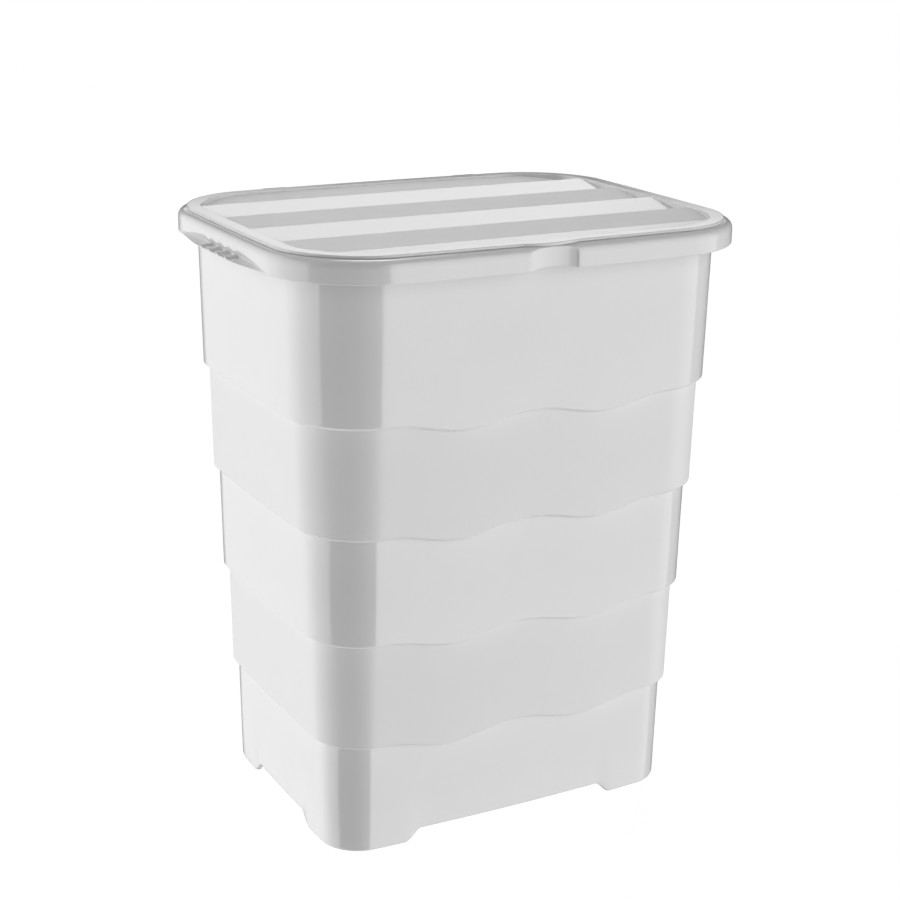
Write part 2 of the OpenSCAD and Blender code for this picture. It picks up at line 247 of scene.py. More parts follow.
@dataclass
class Section:
    """A rounded section: one row per loop, and the finish of each run between them."""

    across: np.ndarray
    height: np.ndarray
    shares: np.ndarray
    finishes: list[Finish]

    @classmethod
    def rounded(cls, corners: list[Corner], step: float = 18.0) -> "Section":
        """Round the corners of a section.

        Args:
            corners: The corners in order, the first and last of them sharp ends.
            step: Most degrees that one piece of a round may turn.

        Returns:
            The section's rows.
        """
        points: list[complex] = []
        shares: list[list[float]] = []
        finishes: list[Finish] = []
        last = len(corners) - 1
        for i, corner in enumerate(corners):
            at = complex(corner.across, corner.height)
            arc = [at]
            if 0 < i < last and corner.radius > 0:
                arc = cls._arc(corners[i - 1], corner, corners[i + 1], step)
            for k in range(1, corner.runs):
                t = k / corner.runs
                start, before = points[-k], np.array(corners[i - 1].shares())
                points.append(start * (1 - t) + arc[0] * t)
                shares.append(list(before * (1 - t) + np.array(corner.shares()) * t))
                finishes.append(corner.finish)
            points += arc
            shares += [corner.shares()] * len(arc)
            finishes += [corner.finish] * len(arc)
        flat = np.array(points)
        return cls(flat.real, flat.imag, np.array(shares), finishes)

    @staticmethod
    def _arc(before: Corner, corner: Corner, after: Corner, step: float) -> list[complex]:
        """Round one corner.

        Args:
            before: The corner before it.
            corner: The corner to round.
            after: The corner after it.
            step: Most degrees that one piece of the round may turn.

        Returns:
            Points along the arc, from its first tangent point to its last.
        """
        at = complex(corner.across, corner.height)
        into = at - complex(before.across, before.height)
        out = complex(after.across, after.height) - at
        into, out = into / abs(into), out / abs(out)
        turn = math.atan2((into.conjugate() * out).imag, (into.conjugate() * out).real)
        if abs(turn) < LEAST_TURN:
            return [at]
        start = at - into * corner.radius * abs(math.tan(turn / 2))
        side = 1j if turn > 0 else -1j
        centre = start + into * side * corner.radius
        pieces = max(1, math.ceil(abs(math.degrees(turn)) / step))
        arm = start - centre
        return [
            centre + arm * complex(math.cos(turn * k / pieces), math.sin(turn * k / pieces))
            for k in range(pieces + 1)
        ]


@dataclass
class Outline:
    """The rounded and bowed rectangle that every loop of the hamper follows.

    The corners' centres lie at straight_x and straight_y from the middle, and the
    middle at middle_y in the frame of the part. The bows are how far the middles of
    the short and long sides stand out.
    """

    straight_x: float = 145.0
    straight_y: float = 94.0
    corner: float = 82.0
    bow_short: float = 2.5
    bow_long: float = 6.5
    middle_y: float = -5.6

    def half(self, front: np.ndarray, side: np.ndarray, turns: int) -> np.ndarray:
        """Lay stations along the right half, from the middle of the front to that of the back.

        Args:
            front: Places along a long side, from 0 to the corner's centre.
            side: Places along the short side, from front to back.
            turns: Pieces in each corner.

        Returns:
            Stations as rows of centre x, centre y, direction x, direction y.
        """
        a, b = self.straight_x, self.straight_y
        turn = [math.radians(90 * k / turns) for k in range(turns)]
        rows = [(x, -b, 0.0, -1.0) for x in front[:-1]]
        rows += [(a, -b, math.sin(angle), -math.cos(angle)) for angle in turn]
        rows += [(a, y, 1.0, 0.0) for y in side[:-1]]
        rows += [(a, b, math.cos(angle), math.sin(angle)) for angle in turn]
        rows += [(x, b, 0.0, 1.0) for x in front[::-1]]
        return np.array(rows)

    @staticmethod
    def loop(half: np.ndarray) -> np.ndarray:
        """Mirror a right half into a whole loop that starts at the middle of the front."""
        left = half[-2:0:-1] * np.array([-1.0, 1.0, -1.0, 1.0])
        return np.vstack([half, left])

    def place(self, stations: np.ndarray, inset: np.ndarray) -> tuple[np.ndarray, np.ndarray]:
        """Find where stations lie at an inset.

        Args:
            stations: Stations of the outline.
            inset: Distance inward from the rim's outside, for each station.

        Returns:
            Their x and y in the tub's own frame.
        """
        r = self.corner - inset
        a, b = self.straight_x + r, self.straight_y + r
        x = stations[:, 0] + r * stations[:, 2]
        y = stations[:, 1] + r * stations[:, 3]
        out_x = self.bow_short * (1 - (y / b) ** 2) * (np.abs(x) / a) ** 4
        out_y = self.bow_long * (1 - (x / a) ** 2) * (np.abs(y) / b) ** 4
        return x + np.sign(x) * out_x, y + np.sign(y) * out_y

    def long_side(self, x: float, inset: float) -> float:
        """Return the distance from the middle to a long side at a given x."""
        station = np.array([[x, -self.straight_y, 0.0, -1.0]])
        return -float(self.place(station, np.array([inset]))[1][0])


OUTLINE = Outline()


@dataclass
class Shell:
    """A mesh under construction, in millimetres, with a finish for each face."""

    points: list[tuple[float, float, float]] = field(default_factory=list)
    faces: list[tuple[int, ...]] = field(default_factory=list)
    finishes: list[Finish] = field(default_factory=list)

    def loft(self, rings: list[np.ndarray], finishes: list[Finish]) -> None:
        """Join rings of points with quads.

        Args:
            rings: Rings of as many points each, in order.
            finishes: The finish of the faces that end at each ring.
        """
        base, n = len(self.points), len(rings[0])
        for ring in rings:
            self.points += [tuple(p) for p in ring]
        for i in range(len(rings) - 1):
            low, high = base + i * n, base + (i + 1) * n
            for j in range(n):
                k = (j + 1) % n
                self.faces.append((low + j, low + k, high + k, high + j))
            self.finishes += [finishes[i + 1]] * n

    def ladder(self, base: int, n: int, up: bool, finishes: list[Finish]) -> None:
        """Close a ring with rungs between its right and left halves.

        Args:
            base: Index of the ring's first point, at the middle of the front.
            n: Number of points in the ring.
            up: Whether the faces look up.
            finishes: The finish of each rung, from front to back.
        """
        half = n // 2
        for j in range(half):
            right, left = base + j, base + (n - j) % n
            far_right, far_left = base + j + 1, base + n - j - 1
            face = list(dict.fromkeys([left, right, far_right, far_left]))
            self.faces.append(tuple(face if up else reversed(face)))
            self.finishes.append(finishes[j])

    def prism(self, outline: list[complex], x: float, thickness: float) -> None:
        """Add a plate across X.

        Args:
            outline: The plate's outline as y + z i, counter-clockwise seen from +X.
            x: Middle of its thickness.
            thickness: Its thickness.
        """
        base, n = len(self.points), len(outline)
        for at in (x - thickness / 2, x + thickness / 2):
            self.points += [(at, p.real, p.imag) for p in outline]
        self.faces.append(tuple(base + k for k in reversed(range(n))))
        self.faces.append(tuple(base + n + k for k in range(n)))
        for k in range(n):
            j = (k + 1) % n
            self.faces.append((base + k, base + j, base + n + j, base + n + k))
        self.finishes += [Finish.GLOSS] * (n + 2)

    def build(self, name: str, materials: list[bpy.types.Material]) -> bpy.types.Object:
        """Make the object.

        Args:
            name: Its name.
            materials: Its materials, in the order of the finishes.

        Returns:
            The object, in metres and in the part's frame.
        """
        mesh = bpy.data.meshes.new(name)
        shift = np.array([0.0, OUTLINE.middle_y, 0.0])
        mesh.from_pydata((np.array(self.points) + shift) * MM, [], self.faces)
        for material in materials:
            mesh.materials.append(material)
        mesh.polygons.foreach_set("material_index", [f.value for f in self.finishes])
        mesh.update()
        obj = bpy.data.objects.new(name, mesh)
        bpy.context.scene.collection.objects.link(obj)
        return obj


def apply_modifiers(obj: bpy.types.Object) -> None:
    """Put an object's modifiers into its mesh.

    Args:
        obj: The object.
    """
    graph = bpy.context.evaluated_depsgraph_get()
    mesh = bpy.data.meshes.new_from_object(obj.evaluated_get(graph))
    obj.modifiers.clear()
    obj.data = mesh


def combine(body: bpy.types.Object, tool: bpy.types.Object, operation: str) -> None:
    """Cut a tool from a body or weld it on, and remove the tool.

    Args:
        body: The object that changes.
        tool: The object that is used up.
        operation: UNION or DIFFERENCE.
    """
    modifier = body.modifiers.new("combine", "BOOLEAN")
    modifier.operation = operation
    modifier.solver = "EXACT"
    modifier.object = tool
    apply_modifiers(body)
    bpy.data.objects.remove(tool)


def soften(
    obj: bpy.types.Object, width: float, segments: int = 3, angle: float = 35.0
) -> None:
    """Round an object's sharp edges.

    Args:
        obj: The object.
        width: Width of the rounds, in millimetres.
        segments: Pieces in each round.
        angle: Angle in degrees from which an edge is rounded.
    """
    modifier = obj.modifiers.new("soften", "BEVEL")
    modifier.width = width * MM
    modifier.segments = segments
    modifier.limit_method = "ANGLE"
    modifier.angle_limit = math.radians(angle)
    apply_modifiers(obj)


def smooth(obj: bpy.types.Object, angle: float = 38.0, weigh: bool = False) -> None:
    """Shade an object smooth, apart from its sharp edges.

    Args:
        obj: The object.
        angle: Angle in degrees from which an edge is sharp.
        weigh: Whether large faces keep their own normals and only the rounds bend.
    """
    mesh = obj.data
    mesh.polygons.foreach_set("use_smooth", [True] * len(mesh.polygons))
    mesh.set_sharp_from_angle(angle=math.radians(angle))
    if weigh:
        modifier = obj.modifiers.new("weigh", "WEIGHTED_NORMAL")
        modifier.keep_sharp = True
        apply_modifiers(obj)


@dataclass
class Hinge:
    """The two hinges behind the rim: where they lie and the sizes they share.

    Their one axis runs along X at y and z. Sink is how far an ear or arm runs into
    what it is welded to, and overcut is how much longer a hole's rod is.
    """

    half_spacing: float = 105.0
    knuckle_length: float = 24.0
    radius: float = 5.2
    ear_thickness: float = 3.2
    ear_clearance: float = 0.4
    pin: float = 5.0
    pin_clearance: float = 0.15
    y: float = 188.5
    z: float = 552.0
    edge_round: float = 0.5
    sink: float = 0.8
    overcut: float = 2.0
    bore_sides: int = 48
    barrel_step: float = 10.0

    def barrel(self, start: float, end: float) -> list[complex]:
        """Lay points round the axis.

        Args:
            start: Angle of the first of them, in degrees from the back upwards.
            end: Angle of the last.

        Returns:
            The points as y + z i.
        """
        n = max(2, math.ceil(abs(end - start) / self.barrel_step))
        angles = [math.radians(start + (end - start) * k / n) for k in range(n + 1)]
        axis = complex(self.y, self.z)
        return [axis + self.radius * complex(math.cos(a), math.sin(a)) for a in angles]

    def bore(self, x: float, length: float, diameter: float) -> bpy.types.Object:
        """Make the rod that cuts a hole along the axis.

        Args:
            x: Middle of the hole.
            length: Length of the rod.
            diameter: Diameter of the hole.

        Returns:
            The rod.
        """
        rod = Shell()
        turn = [math.radians(360 / self.bore_sides * k) for k in range(self.bore_sides)]
        axis = complex(self.y, self.z)
        arms = [diameter / 2 * complex(math.cos(a), math.sin(a)) for a in turn]
        rod.prism([axis + arm for arm in arms], x, length)
        return rod.build("rod", [])

    def plate(
        self,
        outline: list[complex],
        x: float,
        thickness: float,
        hole: float,
        materials: list[bpy.types.Material],
    ) -> bpy.types.Object:
        """Make a rounded plate across the axis, with a hole for the pin.

        Args:
            outline: Its outline as y + z i.
            x: Middle of its thickness.
            thickness: Its thickness.
            hole: Diameter of its hole.
            materials: The materials of the finishes.

        Returns:
            The plate.
        """
        shell = Shell()
        shell.prism(outline, x, thickness)
        plate = shell.build("plate", materials)
        soften(plate, self.edge_round)
        combine(plate, self.bore(x, thickness + self.overcut, hole), "DIFFERENCE")
        return plate


HINGE = Hinge()


@dataclass(frozen=True)
class Grip:
    """A hand grip: a lip that stands out under a finger pocket, with short ribs on it.

    The grip has its full reach along its flat, and loses it along a curve at each
    end. The lip's face is upright up to a share of its height, and falls back above
    it. The scallop is the share of its height that the pocket lacks at the ribs.
    """

    reach: float = 7.5
    lip: float = 1.8
    lip_upright: float = 0.25
    depth: float = 3.4
    height: float = 10.5
    pocket_fade: float = 0.55
    pocket_gap: float = 0.6
    least_rise: float = 1.0
    inner_lift: float = 1.5
    scallop: float = 0.25
    flat: float = 72.0
    curve: float = 68.0
    ribs: int = 4
    pitch: float = 19.5
    rib_core: float = 0.6
    rib_flank: float = 6.4
    rib_rise: float = 1.6
    rib_jut: float = 1.3
    rib_upright: float = 0.5
    rib_margin: float = 1.1
    rib_places: int = 15

    def middles(self) -> np.ndarray:
        """Return where the ribs stand along the grip."""
        return (np.arange(self.ribs) - (self.ribs - 1) / 2) * self.pitch

    def rib_sides(self) -> np.ndarray:
        """Return places close together across each rib and a little past it."""
        across = np.linspace(-self.rib_margin, self.rib_margin, self.rib_places)
        return (self.middles()[:, None] + across * (self.rib_core + self.rib_flank)).ravel()

    def along(self, stations: np.ndarray, corner: float) -> tuple[np.ndarray, np.ndarray]:
        """Find where the stations lie along the grip.

        Args:
            stations: Stations of the outline.
            corner: Corner radius of the rim's outside.

        Returns:
            The share of the grip's full reach, and the distance to the nearest rib,
            for each station.
        """
        y = stations[:, 1] + corner * stations[:, 3]
        share = 1 - ease((np.abs(y) - self.flat / 2) / self.curve)
        near = np.abs(y[:, None] - self.middles()[None, :]).min(axis=1)
        return share * np.abs(stations[:, 2]), near

    def reach_out(
        self, stations: np.ndarray, corner: float, up: float, inner: float
    ) -> np.ndarray:
        """Find how far the skirt stands out.

        Args:
            stations: Stations of the outline.
            corner: Corner radius of the rim's outside.
            up: Height above the skirt's lower edge.
            inner: 0 on the skirt's outside, 1 on its inside.

        Returns:
            The distance for each station.
        """
        share, near = self.along(stations, corner)
        bump = 1 - ease((near - self.rib_core) / self.rib_flank)
        beside = np.minimum(near / self.pitch, 0.5)
        scallop = self.scallop * (1 + np.cos(2 * math.pi * beside)) / 2
        top = self.height * share**self.pocket_fade * (1 - scallop)
        start = self.lip + self.pocket_gap + self.inner_lift * inner
        rise = np.maximum(top + self.inner_lift * inner - start, self.least_rise)
        pressed = self.depth * np.sqrt(share)
        pocket = -pressed * (1 - ease((up - start) / rise))
        crown = self.lip + self.rib_rise * bump
        upright = (self.lip_upright + self.rib_upright * bump) * crown
        fall = np.clip((up - upright) / (crown - upright), 0.0, 1.0)
        out = share * (self.reach - self.rib_jut * (1 - bump)) + pressed
        return pocket + out * np.sqrt(1 - fall**2) * (1 - inner)


@dataclass
class Tub:
    """The tub: five stepped bands under a turned-down rim, on four feet.

    Insets are measured inward from the rim's outside. The arches lie between the
    feet, whose lengths along the long and short sides start at the corner's centre.
    """

    rim_z: float = 560.0
    wall: float = 1.8
    floor_thickness: float = 2.6
    floor_z: float = 17.0
    floor_fillet: float = 8.0
    floor_round: float = 0.8
    draft: float = 0.018
    steps: int = 4
    top_band: float = 146.5
    band_pitch: float = 101.8
    step_in: float = 5.2
    step_slope: float = 3.0
    step_round: float = 1.0
    step_fillet: float = 1.2
    inner_round: float = 1.8
    wave_drop: float = 10.0
    wave_length: float = 140.0
    arch_height: float = 12.0
    arch_curve: float = 17.0
    foot_long: float = 33.0
    foot_short: float = 28.0
    foot_round: float = 3.0
    foot_land: float = 2.4
    rim_reach: float = 17.0
    skirt_height: float = 20.0
    skirt: float = 2.2
    rim_round: float = 7.0
    rim_fillet: float = 1.5
    skirt_round: float = 0.6
    mouth_round: float = 1.0
    scoop_width: float = 47.0
    scoop_depth: float = 4.0
    scoop_step: float = 0.4
    scoop_edge: float = 2.0
    scoop_rise: float = 2.5
    cap_inset: float = 66.0
    ear_lift: float = 0.8
    front_pieces: tuple[int, ...] = (12, 5, 19, 9, 7)
    side_pieces: int = 60
    corner_pieces: int = 36
    skirt_pieces: int = 12
    grip_pieces: int = 32
    grip: Grip = field(default_factory=Grip)

    def stations(self) -> np.ndarray:
        """Lay the outline's stations, close together at the grips and the scoop.

        Returns:
            The stations.
        """
        scoop = self.scoop_width / 2
        arch_end = OUTLINE.straight_x - self.foot_long
        arch_start = arch_end - self.arch_curve
        marks = [0, scoop - self.scoop_edge, scoop, arch_start, arch_end, OUTLINE.straight_x]
        front = spaced(marks, self.front_pieces)
        even = spaced([-OUTLINE.straight_y, OUTLINE.straight_y], [self.side_pieces])
        side = np.union1d(even, self.grip.rib_sides())
        return Outline.loop(OUTLINE.half(front, side, self.corner_pieces))

    def inset(self, band: int, z: float) -> float:
        """Return the inset of the outside of a band, counted from the top, at a height."""
        return self.rim_reach + band * self.step_in + self.draft * (self.rim_z - z)

    def step_z(self, step: int) -> float:
        """Return the height of the lower edge of the band above a step."""
        return self.rim_z - self.top_band - (step - 1) * self.band_pitch

    def outside(self) -> list[Corner]:
        """Lay the corners from under the floor up the outside to the rim's skirt.

        Returns:
            The corners.
        """
        bottom = self.inset(self.steps, 0)
        under = self.inset(self.steps, self.floor_z) + self.wall
        land = bottom + self.foot_round + self.foot_land
        satin = Finish.SATIN
        corners = [
            Corner(self.cap_inset, self.floor_z, finish=satin),
            Corner(under, self.floor_z, self.floor_round, finish=satin),
            Corner(land, 0, self.floor_round, arch=1, finish=satin, runs=2),
            Corner(bottom, 0, self.foot_round, arch=1),
        ]
        for k in range(self.steps, 0, -1):
            z = self.step_z(k)
            finish = Finish.SATIN if k % 2 else Finish.GLOSS
            foot = z - self.step_slope
            inset = self.inset(k, foot)
            corners += [
                Corner(inset, foot, self.step_fillet, wave=1, finish=finish, runs=2),
                Corner(self.inset(k - 1, z), z, self.step_round, wave=1, finish=finish),
            ]
        under_rim = self.rim_z - self.skirt
        corners.append(Corner(self.inset(0, under_rim), under_rim, self.rim_fillet, runs=2))
        return corners

    def rim(self) -> list[Corner]:
        """Lay the corners of the rim, from inside its skirt to the mouth.

        Returns:
            The corners.
        """
        skirt, small = self.skirt, self.skirt_round
        low = self.rim_z - self.skirt_height
        under = self.rim_z - skirt
        top = self.rim_z - self.rim_round
        mouth = self.rim_reach + self.wall
        both = {"grip": 1, "scoop": 1}
        return [
            Corner(skirt, under, self.rim_round - skirt, behind=skirt, **both),
            Corner(skirt, low, small, behind=skirt, runs=self.skirt_pieces, **both),
            Corner(0, low, small, runs=2, **both),
            Corner(0, top, runs=self.grip_pieces, **both),
            Corner(0, self.rim_z, self.rim_round, scoop=1),
            Corner(mouth, self.rim_z, self.mouth_round),
        ]

    def inside(self) -> list[Corner]:
        """Lay the corners from the mouth down the inside to the floor.

        Returns:
            The corners.
        """
        corners = []
        satin = Finish.SATIN
        ledge = math.atan2(self.step_slope, self.step_in)
        lift = self.wall * (1 - math.sin(ledge)) / math.cos(ledge)
        for k in range(1, self.steps + 1):
            z = self.step_z(k)
            foot = z - self.step_slope
            high, low = self.inset(k - 1, z) + self.wall, self.inset(k, foot) + self.wall
            corners += [
                Corner(high, z + lift, self.inner_round, wave=1, finish=satin, runs=2),
                Corner(low, foot + lift, self.inner_round, wave=1, finish=satin),
            ]
        floor = self.floor_z + self.floor_thickness
        edge = self.inset(self.steps, floor) + self.wall
        corners.append(Corner(edge, floor, self.floor_fillet, finish=satin, runs=2))
        corners.append(Corner(self.cap_inset, floor, finish=satin))
        return corners

    def ring(
        self, stations: np.ndarray, across: float, height: float, shares: np.ndarray
    ) -> np.ndarray:
        """Lay one ring of points.

        Args:
            stations: Stations of the outline.
            across: Inset of the ring.
            height: Height of the ring.
            shares: How far it follows the wave, the arches, the grips and the scoop,
                and last how far it lies behind the face that the scoop cuts.

        Returns:
            The points, in the tub's own frame.
        """
        wave, arched, gripped, scooped, _, behind = shares
        x, y = np.abs(stations[:, 0]), np.abs(stations[:, 1])
        long_side, short_side = stations[:, 2] == 0, stations[:, 3] == 0
        waving = long_side & (x < self.wave_length)
        dip = np.where(waving, self.wave_drop * np.sin(math.pi * x / self.wave_length) ** 2, 0)
        end_long = OUTLINE.straight_x - self.foot_long
        end_short = OUTLINE.straight_y - self.foot_short
        arch = np.where(long_side, ease((end_long - x) / self.arch_curve), 0.0)
        arch = np.where(short_side, ease((end_short - y) / self.arch_curve), arch)
        in_front = long_side & (stations[:, 3] < 0) & (x < self.scoop_width / 2)
        hollow = self.scoop_depth - self.scoop_step
        edge = ease((self.scoop_width / 2 - x) / self.scoop_edge)
        scoop = self.scoop_step * edge + hollow * (1 - (2 * x / self.scoop_width) ** 2)
        scoop = np.where(in_front, scoop, 0.0)
        grip = np.zeros(len(stations))
        if gripped:
            up = height - (self.rim_z - self.skirt_height)
            grip = self.grip.reach_out(stations, OUTLINE.corner, up, behind / self.skirt)
        down = self.rim_z - self.rim_round - height
        level = np.clip(down / (self.skirt_height - self.rim_round), 0, 1)
        lift = scooped * level * self.scoop_rise * np.clip(scoop / self.scoop_depth, 0, 1)
        drop = wave * dip - lift
        cut = behind + np.maximum(across - behind, scooped * scoop)
        inset = cut + self.draft * wave * dip - gripped * grip
        px, py = OUTLINE.place(stations, inset)
        return np.column_stack([px, py, height - drop + arched * self.arch_height * arch])

    def ear(self) -> list[complex]:
        """Lay the outline of a hinge ear, from the skirt round the pin.

        Returns:
            The outline as y + z i.
        """
        root = OUTLINE.long_side(HINGE.half_spacing, 0) - HINGE.sink
        low = self.rim_z - self.skirt_height + self.ear_lift
        return [
            complex(root, HINGE.z + HINGE.radius),
            complex(root, low),
            complex(HINGE.y - HINGE.radius, low),
            *HINGE.barrel(start=-30, end=90),
        ]

    def build(self, materials: list[bpy.types.Material]) -> bpy.types.Object:
        """Make the tub with its hinge ears.

        Args:
            materials: The materials of the finishes.

        Returns:
            The tub.
        """
        stations = self.stations()
        section = Section.rounded(self.outside() + self.rim() + self.inside())
        rings = [
            self.ring(stations, a, z, s)
            for a, z, s in zip(section.across, section.height, section.shares)
        ]
        shell = Shell()
        shell.loft(rings, section.finishes)
        n = len(stations)
        satin = [Finish.SATIN] * n
        shell.ladder(0, n, False, satin)
        shell.ladder(len(shell.points) - n, n, True, satin)
        tub = shell.build("hamper_tub", materials)
        offset = (HINGE.knuckle_length + HINGE.ear_thickness) / 2 + HINGE.ear_clearance
        for side in (-1, 1):
            for end in (-1, 1):
                x = side * HINGE.half_spacing + end * offset
                ear = HINGE.plate(self.ear(), x, HINGE.ear_thickness, HINGE.pin, materials)
                combine(tub, ear, "UNION")
        smooth(tub)
        return tub


@dataclass
class Lid:
    """The lid: a flat ring round a recessed panel of sloping louvres.

    From front to back each louvre rises to a crest, and a short riser drops from
    that to the foot of the next. The fillets are where the panel runs into the
    recess wall: how far each of their loops lies from the wall and from the panel.
    """

    seat_z: float = 560.3
    edge_inset: float = 7.8
    ring_thickness: float = 2.4
    recess_outside: float = 19.5
    recess_wall: float = 1.6
    recess_lean: float = 1.2
    recess_reach: float = 1.2
    rim_round: float = 0.4
    edge_round: float = 1.1
    wall_round: float = 0.5
    panel: float = 1.8
    panel_end: float = 200.0
    louvre_pitch: float = 62.5
    louvre_drop: float = 7.0
    louvre_offset: float = 16.0
    crest_drop: float = 0.5
    crest_round: float = 0.5
    foot_round: float = 0.8
    riser_draft: float = 0.3
    louvre_margin: float = 8.0
    top_fillet: tuple[tuple[float, float], ...] = ((0.5, 0.0), (0.1, 0.12), (0.0, 0.4))
    low_fillet: tuple[tuple[float, float], ...] = ((0.0, 0.4), (0.4, 0.0))
    front_pieces: tuple[int, ...] = (18, 20)
    side_pieces: int = 30
    corner_pieces: int = 24
    ring_pieces: int = 14
    fine_pieces: tuple[int, int, int] = (8, 400, 4000)
    least_gap: float = 1e-4
    tab_reach: float = 5.0
    tab_width: float = 54.0
    arm_thickness: float = 2.0
    arm_clearance: float = 0.5
    arm_pieces: int = 10

    @property
    def top(self) -> float:
        """Height of the ring's top face."""
        return self.seat_z + self.ring_thickness

    @property
    def bottom(self) -> float:
        """Height of the recess wall's lower edge."""
        crest = self.top - self.crest_drop
        return crest - self.louvre_drop - self.panel - self.recess_reach

    def lean(self, height: np.ndarray) -> np.ndarray:
        """Return how far the recess wall has leaned inward at some heights."""
        return self.recess_lean * (self.top - height) / (self.top - self.bottom)

    @property
    def recess_inside(self) -> float:
        """Inset of the inside of the recess wall."""
        return self.recess_outside + self.recess_wall

    def crests(self) -> list[float]:
        """Find where the louvres' crests lie.

        Returns:
            Their places along Y, from front to back.
        """
        reach = OUTLINE.long_side(0, self.recess_inside)
        places = [i * self.louvre_pitch - self.louvre_offset for i in range(-3, 4)]
        return [y for y in places if abs(y) < reach]

    def sawtooth(self, thickness: float) -> Section:
        """Lay the panel's profile along Y.

        Args:
            thickness: How far the profile lies under the panel's top face.

        Returns:
            The rounded profile, from front to back.
        """
        high = self.top - self.crest_drop - thickness
        slope = self.louvre_drop / self.louvre_pitch
        crests, end = self.crests(), self.panel_end
        low = high - slope * (self.louvre_pitch + thickness)
        corners = [Corner(-end, high - slope * (crests[0] + end))]
        for y in crests:
            crest, foot = y - thickness, y - thickness + self.riser_draft
            corners.append(Corner(crest, high - slope * thickness, self.crest_round))
            corners.append(Corner(foot, low, self.foot_round))
        behind = crests[-1] + self.louvre_pitch
        corners.append(Corner(end, high - slope * (behind - end)))
        return Section.rounded(corners, step=30.0)

    def stations(self, profiles: list[Section]) -> np.ndarray:
        """Lay the outline's stations so that the louvres' corners fall on some of them.

        Args:
            profiles: The panel's profiles.

        Returns:
            The stations.
        """
        inner = self.recess_inside
        front = spaced([0, self.tab_width / 2, OUTLINE.straight_x], self.front_pieces)
        ends = [-OUTLINE.straight_y, OUTLINE.straight_y]
        half = OUTLINE.half(front, spaced(ends, [self.side_pieces]), self.corner_pieces)
        along, beside, turns = self.fine_pieces
        fine_front = spaced([0, OUTLINE.straight_x], [along])
        fine = OUTLINE.half(fine_front, spaced(ends, [beside]), turns)
        fine_y = OUTLINE.place(fine, np.full(len(fine), inner))[1]
        levels = np.concatenate([p.across for p in profiles])
        levels = levels[np.abs(levels) < OUTLINE.long_side(0, inner) - self.louvre_margin]
        extra = np.column_stack([np.interp(levels, fine_y, column) for column in fine.T])
        stations = np.vstack([half, extra])
        y = OUTLINE.place(stations, np.full(len(stations), inner))[1]
        order = np.argsort(y, kind="stable")
        stations, y = stations[order], y[order]
        keep = np.concatenate([[True], np.diff(y) > self.least_gap])
        return Outline.loop(stations[keep])

    def corners(self) -> list[Corner]:
        """Lay the corners from the panel's top round the ring to its underside.

        Returns:
            The corners.
        """
        rim, wall, lean = self.recess_inside, self.recess_outside, self.recess_lean
        low, small = self.bottom, self.wall_round
        satin = Finish.SATIN
        return [
            Corner(rim, self.top, self.rim_round),
            Corner(self.edge_inset, self.top, self.edge_round, tab=1, runs=self.ring_pieces),
            Corner(self.edge_inset, self.seat_z, small, tab=1, finish=satin),
            Corner(wall, self.seat_z, small, finish=satin),
            Corner(wall + lean, low, small, finish=satin),
            Corner(rim + lean, low, small, finish=satin),
        ]

    def ring(
        self,
        stations: np.ndarray,
        across: np.ndarray | float,
        height: np.ndarray | float,
        tab: float,
    ) -> np.ndarray:
        """Lay one ring of points.

        Args:
            stations: Stations of the outline.
            across: Inset of the ring, for each station or for all.
            height: Height of the ring, for each station or for all.
            tab: How far it follows the front tab.

        Returns:
            The points.
        """
        half = self.tab_width / 2
        radius = (half**2 + self.tab_reach**2) / (2 * self.tab_reach)
        x = np.abs(stations[:, 0])
        bulge = np.sqrt(np.maximum(radius**2 - x**2, 0)) - (radius - self.tab_reach)
        front = (stations[:, 3] < 0) & (stations[:, 2] == 0) & (x < half)
        inset = across - tab * np.where(front, bulge, 0.0)
        px, py = OUTLINE.place(stations, inset)
        return np.column_stack([px, py, np.broadcast_to(height, px.shape)])

    def louvre_finish(self, y: float) -> Finish:
        """Return the finish of the louvre at a place along Y."""
        behind = sum(crest > y for crest in self.crests())
        return Finish.GLOSS if behind % 2 else Finish.SATIN

    def shell(self) -> Shell:
        """Build the lid without its hinge arms.

        Returns:
            The shell.
        """
        top, under = self.sawtooth(0.0), self.sawtooth(self.panel)
        stations = self.stations([top, under])
        inner = self.recess_inside
        y = OUTLINE.place(stations, np.full(len(stations), inner))[1]
        above = np.interp(y, top.across, top.height)
        below = np.interp(y, under.across, under.height)
        start = Corner(inner + self.recess_lean, self.bottom)
        end = Corner(inner, self.top)
        section = Section.rounded([start, *self.corners(), end])
        wall_top, wall_low = inner + self.lean(above), inner + self.lean(below)
        # A crest close under the ring leaves less room for the fillet beside it.
        room = np.minimum(self.top - self.rim_round - above, 1.0)
        rings = [
            self.ring(stations, wall_top + inward, above + up * room, 0)
            for inward, up in self.top_fillet
        ]
        finishes = [Finish.GLOSS] * len(self.top_fillet)
        for k in range(1, len(section.across) - 1):
            *_, tab, _ = section.shares[k]
            rings.append(self.ring(stations, section.across[k], section.height[k], tab))
            finishes.append(section.finishes[k])
        rings += [
            self.ring(stations, wall_low + inward, below - down, 0)
            for inward, down in self.low_fillet
        ]
        finishes += [Finish.SATIN] * len(self.low_fillet)
        shell = Shell()
        shell.loft(rings, finishes)
        n = len(stations)
        rungs = (y[: n // 2] + y[1 : n // 2 + 1]) / 2
        shell.ladder(0, n, False, [self.louvre_finish(v) for v in rungs])
        shell.ladder(len(shell.points) - n, n, True, [Finish.SATIN] * n)
        shell.faces = [tuple(reversed(face)) for face in shell.faces]
        return shell

